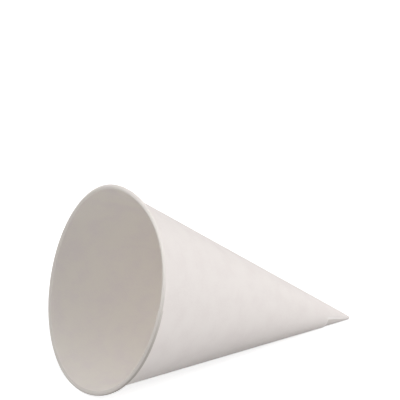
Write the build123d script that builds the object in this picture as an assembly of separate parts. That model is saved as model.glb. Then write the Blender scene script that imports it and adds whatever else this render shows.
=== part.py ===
from build123d import *
from math import acos, asin, atan2, ceil, cos, degrees, hypot, radians, sin, sqrt, tan
import os

# A cone paper cup with a rolled rim. One sheet of paper is wound about half as far again
# as once round, glued where it laps itself, pressed solid at the tip and rolled outwards at the mouth.
# The cup is drawn upright on its tip and then laid on its side, as it comes to rest.

# Sizes in millimetres and degrees
rim_diameter = 70.0     # across the outside of the rolled rim
cup_height = 99.0       # from the tip to the top of the rim, along the axis
sheet = 0.2             # thickness of the paper
bead_diameter = 1.7     # the rolled rim, across its section
curl_clearance = 0.2    # the rolled edge stops this far from the lapped wall
curl_flats = 14         # the curl is drawn as this many narrow flats, within 0.02 of round
tip_radius = 0.65       # rounding of the blunt tip
tip_plug = 3.5          # height above the tip of the inside's floor, below which the turns are pressed solid
corner_cut = 11.5       # height above the tip at which the outer turn's foot is cut back
corner_lap = 10.0       # the foot is cut back from this angle past the paper's inner edge
lap_past_floor = 1.0    # before that angle, the outer turn reaches this far below the inside's floor
blank_angle = 180.0     # angle of the flat sector of paper that the cup is wound from: half a disc
rim_flat = 9.0          # length of the rolled rim that is pressed flat where the cup lies on it
foot_flat = 1.3         # width of the outer turn's foot that is pressed flat where the cup lies on it

# The rolled rim's section and its place
bead_radius = bead_diameter / 2
bead_centre_radius = rim_diameter / 2 - bead_radius
bead_centre_height = cup_height - bead_radius
tail_angle = degrees(acos((bead_radius - 2 * sheet - curl_clearance) / bead_radius))
curl_angle = 360 - tail_angle

# The wall's slope: its outer face touches the rounding of the tip and runs inside the rolled rim
centres_height = bead_centre_height - tip_radius
centres_apart = hypot(bead_centre_radius, centres_height)
wall_inset = bead_radius - sheet + tip_radius
half_angle = degrees(atan2(bead_centre_radius, centres_height) - asin(wall_inset / centres_apart))
slope = radians(half_angle)
along_wall = Vector(sin(slope), cos(slope))
out_of_wall = Vector(cos(slope), -sin(slope))
walls_meet = Vector(0, tip_radius - tip_radius / sin(slope))


def on_wall(height):
    """The point of the first turn's outer face at this height above the tip."""
    return walls_meet + along_wall * ((height - walls_meet.Y) / cos(slope))


def pressed_depth(radius, flat):
    """How deep a round of this radius is pressed in for a flat spot of this length."""
    return radius - sqrt(radius ** 2 - (flat / 2) ** 2)


# The outer turn's foot: at the cut-back corner, and before it where the turn hides in the pressed tip
cut_foot = on_wall(corner_cut)
foot_edge = cut_foot + out_of_wall * sheet
tip_foot = on_wall(tip_plug - lap_past_floor)

# How deep the cup is pressed in where it lies
rim_pressed = pressed_depth(rim_diameter / 2, rim_flat)
foot_pressed = pressed_depth(foot_edge.X, foot_flat)

# Winding: each half turn has its own axis, half a sheet to one side of the last one's,
# so the sheet climbs by one thickness in a whole turn and lies on itself without a gap.
half_step = sheet / cos(slope) / 2
winding_angle = blank_angle / sin(slope)


def curl_line(centre, radius):
    """One side of the curled sheet, as narrow flats from the wall's top to the cut end."""
    start = 180 - half_angle
    corners = []
    for flat in range(curl_flats + 1):
        angle = radians(start - curl_angle * flat / curl_flats)
        corners.append(centre + Vector(cos(angle), sin(angle)) * radius)
    return Polyline(*corners)


def rolled_rim(centre, outer_radius):
    """The curl of one turn of the sheet: its outer side, its cut end and its inner side."""
    outer = curl_line(centre, outer_radius)
    inner = curl_line(centre, outer_radius - sheet)
    cut_end = Line(outer @ 1, inner @ 1)
    return [outer, cut_end, inner]


def turn_section(turn):
    """The half section of the half turn with this number, with its own axis at zero radius."""
    laps_before = turn // 2
    shift = Vector(turn * half_step, 0)
    curl_centre = Vector(bead_centre_radius + (turn % 2) * half_step, bead_centre_height)
    curl_radius = bead_radius - laps_before * sheet
    inner_top = curl_centre - out_of_wall * curl_radius
    outer_top = curl_centre - out_of_wall * (curl_radius - sheet)
    if laps_before:
        outline = lapped_foot(shift, inner_top, outer_top)
    else:
        outline = closed_tip(shift, inner_top, outer_top)
    return make_face(outline + rolled_rim(curl_centre, curl_radius))


def closed_tip(shift, inner_top, outer_top):
    """The first turn's wall, closed by the pressed tip, from the cup's inside round to its outside."""
    plug_radius = inner_top.X - (inner_top.Y - tip_plug) * tan(slope)
    floor_centre = Vector(0, tip_plug)
    floor_edge = Vector(plug_radius, tip_plug)
    tip_centre = shift + Vector(0, tip_radius)
    wall_foot = tip_centre + out_of_wall * tip_radius
    outline = [
        Line(inner_top, floor_edge),
        Line(floor_edge, floor_centre),
        Line(floor_centre, Vector(0, 0)),
        CenterArc(tip_centre, tip_radius, -90, 90 - half_angle),
        Line(wall_foot, outer_top),
    ]
    if shift.X > 0:
        outline.append(Line(Vector(0, 0), shift))
    return outline


def lapped_foot(shift, inner_top, outer_top):
    """A later turn's wall, which ends square at the cut-back corner."""
    inner_foot = cut_foot + shift - Vector(2 * half_step, 0)
    outer_foot = inner_foot + out_of_wall * sheet
    return [Line(inner_top, inner_foot), Line(inner_foot, outer_foot), Line(outer_foot, outer_top)]


def kept_corner():
    """The strip of the outer turn that reaches down over the paper's inner edge to the pressed tip."""
    thickness = out_of_wall * sheet
    outline = Polyline(tip_foot, cut_foot, cut_foot + thickness, tip_foot + thickness, close=True)
    return revolve(Plane.XZ * make_face(outline), Axis.Z, corner_lap)


def half_turn(turn):
    """One half turn of the wound sheet, or what is left of the winding."""
    sweep = min(180, winding_angle - 180 * turn)
    section = Plane.XZ * turn_section(turn)
    wall = revolve(section, Axis.Z, sweep)
    side = turn % 2
    return Pos(side * half_step, 0, 0) * Rot(0, 0, side * 180) * wall


def upright_cup():
    """The whole winding as one piece, standing on its tip."""
    turns = ceil(winding_angle / 180)
    cup = half_turn(0) + kept_corner()
    for turn in range(1, turns):
        cup += half_turn(turn)
    return mirror(cup, Plane.XZ)


def lying_angle():
    """The axis's slope when the pressed rim and the lower of the tip and the pressed foot touch the ground."""
    rim_reach = bead_radius - rim_pressed
    rise = bead_centre_radius - foot_edge.X
    run = bead_centre_height - foot_edge.Y
    on_foot = atan2(rise, run) + asin((rim_reach + foot_pressed) / hypot(rise, run))
    on_tip = atan2(bead_centre_radius, centres_height)
    on_tip += asin((rim_reach - tip_radius) / centres_apart)
    return degrees(min(on_foot, on_tip))


def pressed_flat(cup):
    """The lying cup with its rolled rim and its outer turn's foot flattened where it rests on them."""
    ground = cup.bounding_box().min.Z + rim_pressed
    below = Pos(0, 0, ground - bead_diameter) * Box(3 * cup_height, rim_diameter, 2 * bead_diameter)
    return cup - below


def laid_down(cup):
    """The cup on its side with its heavier, lapped side down and its mouth towards -X."""
    centre = cup.center(CenterOf.MASS)
    heavy_side = degrees(atan2(centre.Y, centre.X))
    rolled = Rot(0, 0, 180 - heavy_side) * cup
    lying = pressed_flat(Rot(0, lying_angle() - 90, 0) * rolled)
    box = lying.bounding_box()
    middle = box.center()
    return Pos(-middle.X, -middle.Y, -box.min.Z) * lying


os.makedirs("parts", exist_ok=True)
cone_cup = laid_down(upright_cup())
export_step(cone_cup, "parts/cone_cup.step")
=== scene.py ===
import math

import bpy
from mathutils import Matrix, Vector


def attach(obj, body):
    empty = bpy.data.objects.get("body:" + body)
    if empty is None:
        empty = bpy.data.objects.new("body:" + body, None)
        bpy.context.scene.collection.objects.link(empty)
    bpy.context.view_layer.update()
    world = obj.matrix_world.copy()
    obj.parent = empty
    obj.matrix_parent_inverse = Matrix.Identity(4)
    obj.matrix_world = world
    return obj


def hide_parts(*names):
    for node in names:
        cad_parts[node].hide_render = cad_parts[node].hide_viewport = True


# A cone paper cup with a rolled rim, lying on its side on a white table.
# The cup's wall is drawn by a node tree as one closed skin: the section of the paper is traced
# once round, from the middle of the floor up the inside, round the curl and down the outside.

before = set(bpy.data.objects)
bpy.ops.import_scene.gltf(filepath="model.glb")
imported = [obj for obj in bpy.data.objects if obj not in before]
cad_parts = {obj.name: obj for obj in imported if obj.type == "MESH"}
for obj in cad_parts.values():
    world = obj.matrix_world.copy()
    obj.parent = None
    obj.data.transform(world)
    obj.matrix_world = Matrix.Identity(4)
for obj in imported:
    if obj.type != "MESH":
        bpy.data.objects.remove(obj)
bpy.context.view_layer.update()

MM = 0.001

# The cup's sizes, as in the solid
RIM_RADIUS = 35.0 * MM
HEIGHT = 99.0 * MM
SHEET = 0.2 * MM
BEAD_RADIUS = 0.85 * MM
CURL_CLEARANCE = 0.2 * MM
TIP_RADIUS = 0.65 * MM
FLOOR_HEIGHT = 3.5 * MM
CORNER_HEIGHT = 11.5 * MM
STRIP_HEIGHT = 2.5 * MM
STRIP_ANGLE = math.radians(10.0)
LAP_ANGLE = math.radians(204.85)

# How the mouth departs from a circle, as shares of the radius. Each row has a number of waves
# round the rim, and their even and odd parts.
OUT_OF_ROUND = (
    (2.0, -0.0085, 0.0017),
    (3.0, 0.0104, -0.0054),
    (4.0, -0.0071, -0.0051),
)

# What follows from them
BEAD_CENTRE_RADIUS = RIM_RADIUS - BEAD_RADIUS
BEAD_CENTRE_HEIGHT = HEIGHT - BEAD_RADIUS
CENTRES_HEIGHT = BEAD_CENTRE_HEIGHT - TIP_RADIUS
CENTRES_APART = math.hypot(BEAD_CENTRE_RADIUS, CENTRES_HEIGHT)
TIP_TO_BEAD = math.atan2(BEAD_CENTRE_RADIUS, CENTRES_HEIGHT)
HALF_ANGLE = TIP_TO_BEAD - math.asin((BEAD_RADIUS - SHEET + TIP_RADIUS) / CENTRES_APART)
CURL_ANGLE = 2 * math.pi - math.acos((BEAD_RADIUS - 2 * SHEET - CURL_CLEARANCE) / BEAD_RADIUS)

# How the cup lies: the slope of its axis, the place of its tip, and the angle
# from the paper's inner edge round to the side that is undermost
LYING_ANGLE = math.radians(19.2427)
TIP_PLACE = Vector((52.342, -0.001, 0.452)) * MM
LOWEST_TURN = math.radians(102.17)


# ---------------------------------------------------------------- node trees

class Value:
    """A number that flows through a node tree. Sums on it add Math nodes."""

    def __init__(self, tree, socket):
        self.tree = tree
        self.socket = socket

    def math(self, operation, *others, clamp=False):
        return self.tree.math(operation, self, *others, clamp=clamp)

    def __add__(self, other):
        return self.math("ADD", other)

    def __sub__(self, other):
        return self.math("SUBTRACT", other)

    def __mul__(self, other):
        return self.math("MULTIPLY", other)

    def __truediv__(self, other):
        return self.math("DIVIDE", other)

    def __rsub__(self, other):
        return self.tree.math("SUBTRACT", other, self)

    def __rtruediv__(self, other):
        return self.tree.math("DIVIDE", other, self)

    def __neg__(self):
        return self * -1.0

    __radd__ = __add__
    __rmul__ = __mul__

    def clamped(self):
        return self.math("ADD", 0.0, clamp=True)

    def cos(self):
        return self.math("COSINE")

    def sin(self):
        return self.math("SINE")


class Tree:
    """A node tree that is being written."""

    def __init__(self, nodes):
        self.nodes = nodes

    def node(self, type_name, settings=None, **values):
        """A node of this type, with these settings, and values or links for its named sockets."""
        made = self.nodes.nodes.new(type_name)
        for name, value in (settings or {}).items():
            setattr(made, name, value)
        for name, value in values.items():
            self.feed(self.socket(made.inputs, name), value)
        return made

    def socket(self, sockets, name):
        """The enabled socket of this name, with underscores for spaces. in_1 is the second one."""
        if name.startswith("in_"):
            return sockets[int(name[3:])]
        wanted = name.replace("_", " ")
        for found in sockets:
            if found.enabled and found.name == wanted:
                return found
        raise KeyError(f"no socket {wanted}")

    def feed(self, socket, value):
        if isinstance(value, Value):
            value = value.socket
        if isinstance(value, bpy.types.NodeSocket):
            self.nodes.links.new(value, socket)
        else:
            socket.default_value = value

    def out(self, node, name="0"):
        """An output of a node, as a value."""
        socket = node.outputs[int(name)] if name.isdigit() else self.socket(node.outputs, name)
        return Value(self, socket)

    def math(self, operation, *operands, clamp=False):
        made = self.nodes.nodes.new("ShaderNodeMath")
        made.operation = operation
        made.use_clamp = clamp
        for place, operand in enumerate(operands):
            self.feed(made.inputs[place], operand)
        return Value(self, made.outputs[0])

    def smooth(self, value, low, high):
        """0 below low, 1 above high, and smooth between."""
        made = self.node("ShaderNodeMapRange", {"interpolation_type": "SMOOTHSTEP"},
                         Value=value, From_Min=low, From_Max=high)
        return self.out(made, "Result")

    def mark(self, name, output="Fac"):
        """A mark that the mesh carries at each corner."""
        made = self.node("ShaderNodeAttribute", {"attribute_name": name})
        return self.out(made, output)

    def noise(self, place, scale, detail):
        """Soft noise with about this many waves a metre."""
        made = self.node("ShaderNodeTexNoise", Vector=place, Scale=scale, Detail=detail)
        return self.out(made)

    def mix(self, factor, first, second):
        """The first colour where the factor is 0, and the second where it is 1."""
        made = self.node("ShaderNodeMix", {"data_type": "RGBA"}, Factor=factor, A=first, B=second)
        return self.out(made, "Result")

    def vector(self, x, y, z):
        return self.out(self.node("ShaderNodeCombineXYZ", X=x, Y=y, Z=z))

    def parts(self, vector):
        made = self.node("ShaderNodeSeparateXYZ", Vector=vector)
        return self.out(made, "X"), self.out(made, "Y"), self.out(made, "Z")


# ---------------------------------------------------------------- the wound paper

# Rows of the skin along the traced section, move by move. The two steps have no length:
# there the outer turn ends.
MOVES = (
    ("floor", 3),
    ("inside wall", 84),
    ("curl out", 26),
    ("cut end", 1),
    ("curl back", 16),
    ("outside wall", 96),
    ("corner step", 1),
    ("strip wall", 16),
    ("strip step", 1),
    ("tip wall", 4),
    ("tip", 8),
)
FIRST_ROW = {
    name: sum(rows for _, rows in MOVES[:place])
    for place, (name, _) in enumerate(MOVES)
}
ROWS = sum(rows for _, rows in MOVES) + 1

# The paper's cut edge at the outer turn's foot shows pale over this share of the wall: its whiter
# fibres, with a painted highlight where the edge catches the light
CUT_EDGE_SHARE = 0.0125

# The inside is greyer over this share of the wall above the floor, where the turns are pressed and
# glued, and where painted shade lies deep in the tip
PRESSED_SHARE = 0.06

# On the flat sheet the pattern of the outside lies this far from the inside's, so they differ
SIDES_APART = 50.0 * MM

# Points of the skin that lie closer than this are one point
ONE_POINT = 0.0005 * MM

# The skin is shaded as folded where it turns by more than this
FOLD_ANGLE = math.radians(35.0)

# Columns round the cup from the paper's inner edge. Two columns share each place
# where the outer turn has an edge.
STRIP_COLUMNS = 8
LAP_COLUMNS = 126
REST_COLUMNS = 104
LAP_START = STRIP_COLUMNS + 1
REST_START = LAP_START + LAP_COLUMNS + 1
COLUMNS = REST_START + REST_COLUMNS + 2


def skin_tree(paper):
    """The node tree that draws the cup, upright on its tip, from its sizes."""
    nodes = bpy.data.node_groups.new("wound_cup", "GeometryNodeTree")
    tree = Tree(nodes)
    sizes = (
        ("Bead centre radius", BEAD_CENTRE_RADIUS),
        ("Bead centre height", BEAD_CENTRE_HEIGHT),
        ("Bead radius", BEAD_RADIUS),
        ("Sheet", SHEET),
        ("Tip radius", TIP_RADIUS),
        ("Floor height", FLOOR_HEIGHT),
        ("Corner height", CORNER_HEIGHT),
        ("Strip height", STRIP_HEIGHT),
        ("Half angle", HALF_ANGLE),
        ("Curl angle", CURL_ANGLE),
        ("Strip angle", STRIP_ANGLE),
        ("Lap angle", LAP_ANGLE),
    )
    for name, value in sizes:
        made = nodes.interface.new_socket(name, in_out="INPUT", socket_type="NodeSocketFloat")
        made.default_value = value
    nodes.interface.new_socket("Geometry", in_out="OUTPUT", socket_type="NodeSocketGeometry")
    given = tree.node("NodeGroupInput")
    size = {name: Value(tree, given.outputs[name]) for name, _ in sizes}

    grid = tree.node("GeometryNodeMeshGrid", Size_X=1.0, Size_Y=1.0,
                     Vertices_X=ROWS, Vertices_Y=COLUMNS)
    across, along, _ = tree.parts(tree.out(tree.node("GeometryNodeInputPosition")))
    row = tree.math("ROUND", (across + 0.5) * (ROWS - 1))
    column = tree.math("ROUND", (along + 0.5) * (COLUMNS - 1))

    radius, height, outwards, share = section(tree, row, size)
    turn, offset, lapping, beyond_foot = winding(tree, row, column, share, size)
    flat = (turn + 2 * math.pi * lapping) * size["Half angle"].sin()
    marks = sheet_marks(tree, row, radius, height, flat, share, size)
    marks["beyond_foot"] = beyond_foot
    # Where the cut edge's paler fibres and painted highlight lie
    marks["lit_cut_edge"] = lapping * ((share["outside wall"] - 1.0) / CUT_EDGE_SHARE + 1.0).clamped()
    marked = with_marks(tree, grid.outputs["Mesh"], marks)
    radius = radius + offset * outwards.cos()
    height = height + offset * outwards.sin()

    radius, height = hand_made(tree, radius, height, turn, size)
    place = tree.vector(radius * turn.cos(), radius * turn.sin(), height)
    placed = tree.node("GeometryNodeSetPosition", Geometry=marked, Position=place)
    closed = tree.node("GeometryNodeMergeByDistance",
                       Geometry=placed.outputs["Geometry"], Distance=ONE_POINT)
    smooth = tree.node("GeometryNodeSetShadeSmooth", Geometry=closed.outputs["Geometry"])
    bend = tree.node("GeometryNodeInputMeshEdgeAngle")
    folded = tree.math("GREATER_THAN", tree.out(bend, "Unsigned Angle"), FOLD_ANGLE)
    creased = tree.node("GeometryNodeSetShadeSmooth", {"domain": "EDGE"},
                        Geometry=smooth.outputs["Geometry"],
                        Selection=folded, Shade_Smooth=False)
    real = tree.node("GeometryNodeRealizeInstances", Geometry=creased.outputs["Geometry"])
    finish = tree.node("GeometryNodeSetMaterial", Geometry=real.outputs["Geometry"])
    finish.inputs["Material"].default_value = paper
    leaving = tree.node("NodeGroupOutput")
    nodes.links.new(finish.outputs["Geometry"], leaving.inputs[0])
    return nodes


def section(tree, row, size):
    """The traced section at each row.

    Its radius and height, the direction in which the turns pile up on it, and how much
    of each move is done there, from 0 to 1.
    """
    half, sheet, bead = size["Half angle"], size["Sheet"], size["Bead radius"]
    centre_r, centre_z = size["Bead centre radius"], size["Bead centre height"]
    tip, floor, curl = size["Tip radius"], size["Floor height"], size["Curl angle"]
    share = {}
    for name, rows in MOVES:
        share[name] = ((row - float(FIRST_ROW[name])) / float(rows)).clamped()

    slope_cos, slope_sin, slope_tan = half.cos(), half.sin(), half.math("TANGENT")
    inner_r, inner_z = centre_r - slope_cos * bead, centre_z + slope_sin * bead
    outer_r = centre_r - slope_cos * (bead - sheet)
    outer_z = centre_z + slope_sin * (bead - sheet)
    floor_r = inner_r - (inner_z - floor) * slope_tan
    foot_r, foot_z = slope_cos * tip, tip - slope_sin * tip
    corner_z, strip_z = size["Corner height"], size["Strip height"]
    corner_r = foot_r + (corner_z - foot_z) * slope_tan
    strip_r = foot_r + (strip_z - foot_z) * slope_tan

    start = math.pi - half
    out_angle = start - share["curl out"] * curl
    back_angle = start - curl + share["curl back"] * curl
    end = start - curl
    inner_bead = bead - sheet
    tip_angle = -half - share["tip"] * (math.pi / 2 - half)

    radius = floor_r * share["floor"]
    radius = radius + (inner_r - floor_r) * share["inside wall"]
    radius = radius + bead * (out_angle.cos() - start.cos())
    radius = radius - sheet * end.cos() * share["cut end"]
    radius = radius + inner_bead * (back_angle.cos() - end.cos())
    radius = radius + (corner_r - outer_r) * share["outside wall"]
    radius = radius + (strip_r - corner_r) * share["strip wall"]
    radius = radius + (foot_r - strip_r) * share["tip wall"]
    radius = radius + tip * (tip_angle.cos() - half.cos())

    height = floor + (inner_z - floor) * share["inside wall"]
    height = height + bead * (out_angle.sin() - start.sin())
    height = height - sheet * end.sin() * share["cut end"]
    height = height + inner_bead * (back_angle.sin() - end.sin())
    height = height + (corner_z - outer_z) * share["outside wall"]
    height = height + (strip_z - corner_z) * share["strip wall"]
    height = height + (foot_z - strip_z) * share["tip wall"]
    height = height + tip * (tip_angle.sin() + half.sin())

    outwards = -half - curl * (share["curl out"] - share["curl back"])
    return radius, height, outwards, share


def winding(tree, row, column, share, size):
    """How the paper is wound at each row and column.

    The angle from the paper's inner edge, how far the skin stands off the first turn's place
    there, whether the outer turn lies there, and whether its foot is just above.
    """
    strip, lap, sheet = size["Strip angle"], size["Lap angle"], size["Sheet"]
    over_strip = (column / float(STRIP_COLUMNS)).clamped()
    over_lap = ((column - float(LAP_START)) / float(LAP_COLUMNS)).clamped()
    past_lap = ((column - float(REST_START)) / float(REST_COLUMNS)).clamped()
    turn = strip * over_strip + (lap - strip) * over_lap + (2 * math.pi - lap) * past_lap
    restart = tree.math("GREATER_THAN", column, COLUMNS - 1.5)
    in_strip = tree.math("MAXIMUM", tree.math("LESS_THAN", column, LAP_START - 0.5), restart)
    in_lap = tree.math("MAXIMUM", tree.math("LESS_THAN", column, REST_START - 0.5), restart)

    second_half = tree.math("MAXIMUM", turn, math.pi)
    off_floor = tree.math("GREATER_THAN", row, 0.5)
    climb = sheet * 0.5 * (1.0 + second_half.cos()) * (1.0 - restart)
    climb = climb * off_floor * (1.0 - share["tip wall"])

    outside = tree.math("GREATER_THAN", row, FIRST_ROW["cut end"] + 0.5)
    past_corner = tree.math("GREATER_THAN", row, FIRST_ROW["corner step"] + 0.5)
    past_strip = tree.math("GREATER_THAN", row, FIRST_ROW["strip step"] + 0.5)
    to_corner = in_lap * outside * (1.0 - past_corner)
    to_strip = in_strip * past_corner * (1.0 - past_strip)
    # The inner turn just past the outer turn's foot, which gets glue and a painted shadow of the
    # foot
    beyond_foot = in_lap * (1.0 - in_strip) * past_corner * (1.0 - share["strip wall"])
    return turn, climb + sheet * (to_corner + to_strip), to_corner + to_strip, beyond_foot


def sheet_marks(tree, row, radius, height, flat, share, size):
    """Marks for the finish.

    The place on the flat sheet, and where the inside, the roll and the pressed floor are.
    """
    along = height - cone_point(size)
    reach = (radius * radius + along * along).math("SQRT")
    outside = tree.math("GREATER_THAN", row, FIRST_ROW["cut end"] + 0.5)
    on_wall = tree.math("GREATER_THAN", row, FIRST_ROW["outside wall"] + 0.5)
    return {
        "flat_sheet": tree.vector(reach * flat.cos(), reach * flat.sin(), outside * SIDES_APART),
        "inside": 1.0 - share["curl out"],
        # The roll's mark reaches down the first row of the outside wall, where its painted shade
        # fades out as a painted shadow under the roll
        "rolled": share["curl out"] * (1.0 - on_wall),
        "pressed": (1.0 - share["inside wall"] / PRESSED_SHARE).clamped(),
    }


def with_marks(tree, skin, marks):
    """The skin carrying these marks at each corner of its faces."""
    for name, value in marks.items():
        kind = "FLOAT_VECTOR" if name == "flat_sheet" else "FLOAT"
        settings = {"data_type": kind, "domain": "CORNER"}
        marked = tree.node("GeometryNodeStoreNamedAttribute", settings,
                           Geometry=skin, Name=name, Value=value)
        skin = marked.outputs["Geometry"]
    return skin


def cone_point(size):
    """The height at which the wall's outer face would meet the axis."""
    return size["Tip radius"] * (1.0 - 1.0 / size["Half angle"].sin())


def hand_made(tree, radius, height, turn, size):
    """The mouth a little out of round. The paper doesn't stretch.

    Every point stays as far from the cone's point as it was.
    """
    bottom = LOWEST_TURN - turn
    wide = 0.0
    for waves, even, odd in OUT_OF_ROUND:
        wide = wide + even * ((bottom * waves).cos() - 1.0)
        wide = wide + odd * (bottom * waves).sin()
    point = cone_point(size)
    along = height - point
    reach = radius * radius + along * along
    radius = radius * (1.0 + wide)
    height = point + (reach - radius * radius).math("SQRT")
    return radius, height


def lying_place():
    """From the upright cup, its paper's inner edge at +X, to the lying one, wound the other way."""
    axis = Vector((-math.cos(LYING_ANGLE), 0, math.sin(LYING_ANGLE)))
    down = Vector((-math.sin(LYING_ANGLE), 0, -math.cos(LYING_ANGLE)))
    front = Vector((0, -1, 0))
    along_edge = down * math.cos(LOWEST_TURN) + front * math.sin(LOWEST_TURN)
    quarter_on = down * math.sin(LOWEST_TURN) - front * math.cos(LOWEST_TURN)
    turned = Matrix((along_edge, quarter_on, axis)).transposed().to_4x4()
    return Matrix.Translation(TIP_PLACE) @ turned


def drawn_cup(paper):
    """The node tree's result as a plain mesh, lying in its place, pressed flat where it rests."""
    holder = bpy.data.objects.new("tree_holder", bpy.data.meshes.new("tree_holder"))
    bpy.context.scene.collection.objects.link(holder)
    modifier = holder.modifiers.new("wound_cup", "NODES")
    modifier.node_group = skin_tree(paper)
    for item in modifier.node_group.interface.items_tree:
        if item.in_out == "INPUT":
            modifier[item.identifier] = item.default_value
    evaluated = holder.evaluated_get(bpy.context.evaluated_depsgraph_get())
    mesh = bpy.data.meshes.new_from_object(evaluated)
    holder.modifiers.remove(modifier)
    bpy.data.objects.remove(holder)
    mesh.name = "paper_cup"
    mesh.transform(lying_place())
    # The place mirrors the cup, so its faces are turned to point outwards again
    mesh.flip_normals()
    for vertex in mesh.vertices:
        vertex.co.z = max(vertex.co.z, 0.0)
    cup = bpy.data.objects.new("paper_cup", mesh)
    bpy.context.scene.collection.objects.link(cup)
    return cup


# ---------------------------------------------------------------- finishes

def material(name):
    """An empty material, and its node tree."""
    made = bpy.data.materials.new(name)
    made.use_nodes = True
    made.node_tree.nodes.clear()
    return made, Tree(made.node_tree)


# Colours of the paper: its outside, its inside with a painted tint of the light within the cup, its
# cloudy patches, the painted shade of the roll and of the glued, pressed floor, the glued inner
# turn with the painted shadow of the outer turn's foot, and the cut edge there with a painted
# highlight
OUTSIDE_PAPER = (0.862, 0.813, 0.787, 1.0)
INSIDE_PAPER = (0.858, 0.816, 0.762, 1.0)
CLOUDY_PAPER = (0.835, 0.780, 0.758, 1.0)
PAPER_IN_PAINTED_SHADE = (0.43, 0.395, 0.36, 1.0)
GLUED_PAPER_IN_PAINTED_SHADE = (0.76, 0.71, 0.685, 1.0)
CUT_PAPER_WITH_HIGHLIGHT = (0.95, 0.91, 0.885, 1.0)

# The paper's grain on the flat sheet: waves a metre, and how finely they are broken up
FIBRES = (2200.0, 3.0)
CLOUDS = (140.0, 2.0)
DENTS = (45.0, 1.0)

# The fibres lie mostly one way, and break up the clouds
FIBRE_STRETCH = (1.0, 0.35, 1.0)
FIBRES_IN_CLOUDS = 0.5

# Between these values of its noise the paper turns cloudy
CLOUDS_BEGIN = (0.35, 0.75)

# How deep the grain is, and how rough the paper
FIBRE_DEPTH = 0.03 * MM
DENT_DEPTH = 0.3 * MM
PAPER_ROUGHNESS = 0.7
FIBRE_ROUGHNESS = 0.1

# How much painted shade the pressed floor, which is also glued, and the roll get. The roll's
# painted shade is lighter at the top of the cup.
PRESSED_GLUE_AND_SHADE = 0.75
FRONT_SHADE = 0.42
FRONT_SHADE_AT_TOP = 0.18
BACK_SHADE = 0.8

# Heights between which the cup's low part ends, and its top begins
LOW_PART_ENDS = (25.0 * MM, 55.0 * MM)
TOP_BEGINS = (55.0 * MM, 66.0 * MM)

# Shares of the roll between which its front begins and ends, and its back begins
FRONT_BEGINS = (0.02, 0.12)
FRONT_ENDS = (0.2, 0.34)
BACK_BEGINS = (0.36, 0.5)


def roll_painted_shade(tree):
    """The roll's painted shade: on its front all round, and on its back only in the cup's low part.
    """
    roll = tree.mark("rolled")
    _, _, height = tree.parts(tree.out(tree.node("ShaderNodeTexCoord"), "Object"))
    low = 1.0 - tree.smooth(height, *LOW_PART_ENDS)
    top = tree.smooth(height, *TOP_BEGINS)
    front = FRONT_SHADE - (FRONT_SHADE - FRONT_SHADE_AT_TOP) * top
    front = front * tree.smooth(roll, *FRONT_BEGINS)
    front = front * (1.0 - (1.0 - low) * tree.smooth(roll, *FRONT_ENDS))
    return tree.math("MAXIMUM", front, BACK_SHADE * low * tree.smooth(roll, *BACK_BEGINS))


def white_paper():
    """Matt bleached paper: cloudy and dented, with fine fibres, a painted tint inside, painted
    shade on the roll, glue and painted shade on the pressed floor and past the outer turn's foot,
    and a paler cut edge with a painted highlight.
    """
    made, tree = material("uncoated_paper")
    place = tree.mark("flat_sheet", "Vector")
    fibre_place = tree.out(tree.node("ShaderNodeVectorMath", {"operation": "MULTIPLY"},
                                     in_0=place, in_1=FIBRE_STRETCH))
    fibres = tree.noise(fibre_place, *FIBRES)
    clouds = tree.noise(place, *CLOUDS)
    dents = tree.noise(place, *DENTS)
    cloudy = tree.smooth(clouds + (fibres - 0.5) * FIBRES_IN_CLOUDS, *CLOUDS_BEGIN)
    # The inside is a little yellower: a painted tint of the light within the cup
    colour = tree.mix(tree.mark("inside"), OUTSIDE_PAPER, INSIDE_PAPER)
    colour = tree.mix(cloudy, colour, CLOUDY_PAPER)
    # Glue and painted shade on the pressed floor, deep in the tip
    colour = tree.mix(PRESSED_GLUE_AND_SHADE * tree.mark("pressed"), colour, PAPER_IN_PAINTED_SHADE)
    # Glue and the painted shadow of the outer turn's foot, fading towards the tip
    colour = tree.mix(tree.mark("beyond_foot"), colour, GLUED_PAPER_IN_PAINTED_SHADE)
    # Paler cut fibres with a painted highlight along the outer turn's foot
    colour = tree.mix(tree.mark("lit_cut_edge"), colour, CUT_PAPER_WITH_HIGHLIGHT)
    # Painted shade on the roll, heavier in the cup's low part
    colour = tree.mix(roll_painted_shade(tree), colour, PAPER_IN_PAINTED_SHADE)
    relief = fibres * FIBRE_DEPTH + dents * DENT_DEPTH
    bump = tree.node("ShaderNodeBump", Strength=0.35, Distance=1.0, Height=relief)
    skin = tree.node("ShaderNodeBsdfPrincipled", Base_Color=colour,
                     Roughness=PAPER_ROUGHNESS + fibres * FIBRE_ROUGHNESS,
                     Normal=bump.outputs["Normal"])
    skin.inputs["Specular IOR Level"].default_value = 0.25
    leaving = tree.node("ShaderNodeOutputMaterial")
    made.node_tree.links.new(skin.outputs[0], leaving.inputs["Surface"])
    return made


TABLE_COLOUR = (0.6, 0.6, 0.6, 1.0)
WHITE = (1.0, 1.0, 1.0, 1.0)

# The camera sees this much light from the table beside what the lamps give it
TABLE_GLOW = 0.76


def white_table():
    """A white table top that the camera sees as white where nothing shades it."""
    made, tree = material("white_table")
    seen = tree.node("ShaderNodeLightPath")
    skin = tree.node("ShaderNodeBsdfPrincipled", Base_Color=TABLE_COLOUR, Roughness=0.8)
    skin.inputs["Specular IOR Level"].default_value = 0.2
    glow = tree.node("ShaderNodeEmission", Color=WHITE,
                     Strength=tree.out(seen, "Is Camera Ray") * TABLE_GLOW)
    both = tree.node("ShaderNodeAddShader")
    leaving = tree.node("ShaderNodeOutputMaterial")
    made.node_tree.links.new(skin.outputs[0], both.inputs[0])
    made.node_tree.links.new(glow.outputs[0], both.inputs[1])
    made.node_tree.links.new(both.outputs[0], leaving.inputs["Surface"])
    return made


# ---------------------------------------------------------------- the cup

cup = drawn_cup(white_paper())
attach(cup, "root")
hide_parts("cone_cup")


# ---------------------------------------------------------------- table, light and camera

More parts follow.
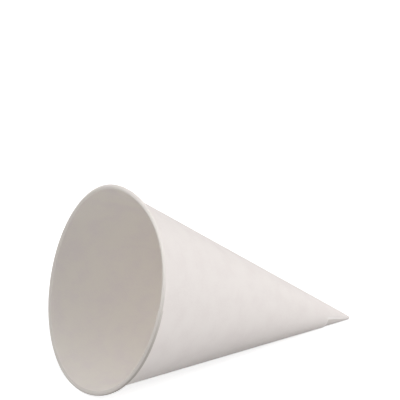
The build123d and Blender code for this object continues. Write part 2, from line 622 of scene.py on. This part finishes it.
TABLE_SIZE = 8.0

# The room lights the cup this much, though the camera sees the room as white
ROOM_LIGHT = 0.15

bpy.ops.mesh.primitive_plane_add(size=TABLE_SIZE, location=(0, 0, 0))
table = bpy.context.object
table.name = "table"
table.data.materials.append(white_table())

world = bpy.data.worlds.new("room")
bpy.context.scene.world = world
world.use_nodes = True
world.node_tree.nodes.clear()
room = Tree(world.node_tree)
sight = room.node("ShaderNodeLightPath")
seen_white = room.math("MAXIMUM", room.out(sight, "Is Camera Ray"),
                       room.out(sight, "Is Glossy Ray"))
sky = room.node("ShaderNodeBackground", Color=WHITE,
                Strength=ROOM_LIGHT + seen_white * (1.0 - ROOM_LIGHT))
room_out = room.node("ShaderNodeOutputWorld")
world.node_tree.links.new(sky.outputs[0], room_out.inputs["Surface"])


MIDDLE = Vector((0, 0, 30.0)) * MM
LAMP_REACH = 1.4
LAMP_SIZE = 1.2


def studio_lamp(name, azimuth, rise, power):
    """A soft round lamp that faces the cup. Azimuth 0 is in front of it, and 90 beyond its tip."""
    azimuth, rise = math.radians(azimuth), math.radians(rise)
    direction = Vector((math.sin(azimuth) * math.cos(rise),
                        -math.cos(azimuth) * math.cos(rise), math.sin(rise)))
    lamp = bpy.data.lights.new(name, "AREA")
    lamp.shape = "DISK"
    lamp.size = LAMP_SIZE
    lamp.energy = power
    made = bpy.data.objects.new(name, lamp)
    bpy.context.scene.collection.objects.link(made)
    made.location = MIDDLE + LAMP_REACH * direction
    made.rotation_euler = (-direction).to_track_quat("-Z", "Y").to_euler()


studio_lamp("front_lamp", 45, 35, 14.9)
studio_lamp("mouth_lamp", 270, 35, 10.3)
studio_lamp("back_lamp", 180, 65, 4.4)

# The camera stands where the photograph's did, worked out from the rim's and the wall's outlines
CAMERA_TURN = math.radians(28.276)
CAMERA_RISE = math.radians(25.247)
CAMERA_REACH = 1.5

# How far the tip lies from the middle of the view, to the right and up
TIP_IN_VIEW = (0.05067, -0.04005)
FOCAL_PIXELS = 4410.3
IMAGE_PIXELS = 400
SENSOR = 36.0

right = Vector((math.cos(CAMERA_TURN), -math.sin(CAMERA_TURN), 0))
back = Vector((-math.sin(CAMERA_TURN) * math.cos(CAMERA_RISE),
               -math.cos(CAMERA_TURN) * math.cos(CAMERA_RISE), math.sin(CAMERA_RISE)))
up = back.cross(right)
lens = bpy.data.cameras.new("camera")
lens.sensor_width = SENSOR
lens.lens = FOCAL_PIXELS * SENSOR / IMAGE_PIXELS
camera = bpy.data.objects.new("camera", lens)
bpy.context.scene.collection.objects.link(camera)
camera.matrix_world = Matrix((right, up, back)).transposed().to_4x4()
camera.location = TIP_PLACE - right * TIP_IN_VIEW[0] - up * TIP_IN_VIEW[1] + back * CAMERA_REACH
bpy.context.scene.camera = camera
bpy.context.scene.view_settings.view_transform = "Standard"
